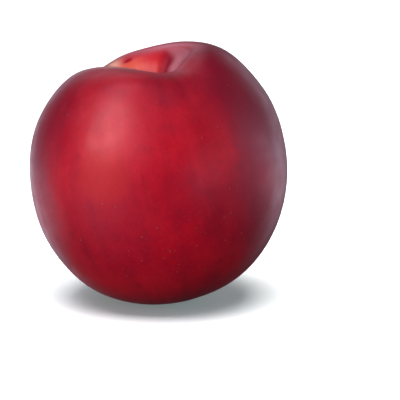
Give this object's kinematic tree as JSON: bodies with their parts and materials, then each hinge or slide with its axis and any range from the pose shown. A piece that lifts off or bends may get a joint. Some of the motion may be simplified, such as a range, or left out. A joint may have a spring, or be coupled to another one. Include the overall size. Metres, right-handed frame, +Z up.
{
  "type": "nectarine",
  "caption": "Whole ripe nectarine, a smooth round stone fruit with a stem cavity, a suture and a blossom point, that rests on a small flat spot.",
  "frame": {"origin": "middle of the small flat spot that the fruit rests on", "axes": "+Z up, out of the resting surface; the suture faces -Y, turned 25 degrees towards +X; the stem end leans 10 degrees towards -X"},
  "size_m": [0.0705, 0.0712, 0.0705],
  "materials": {
    "skin": "satin"
  },
  "bodies": {
    "root": {"nectarine": "skin"}
  },
  "joints": []
}
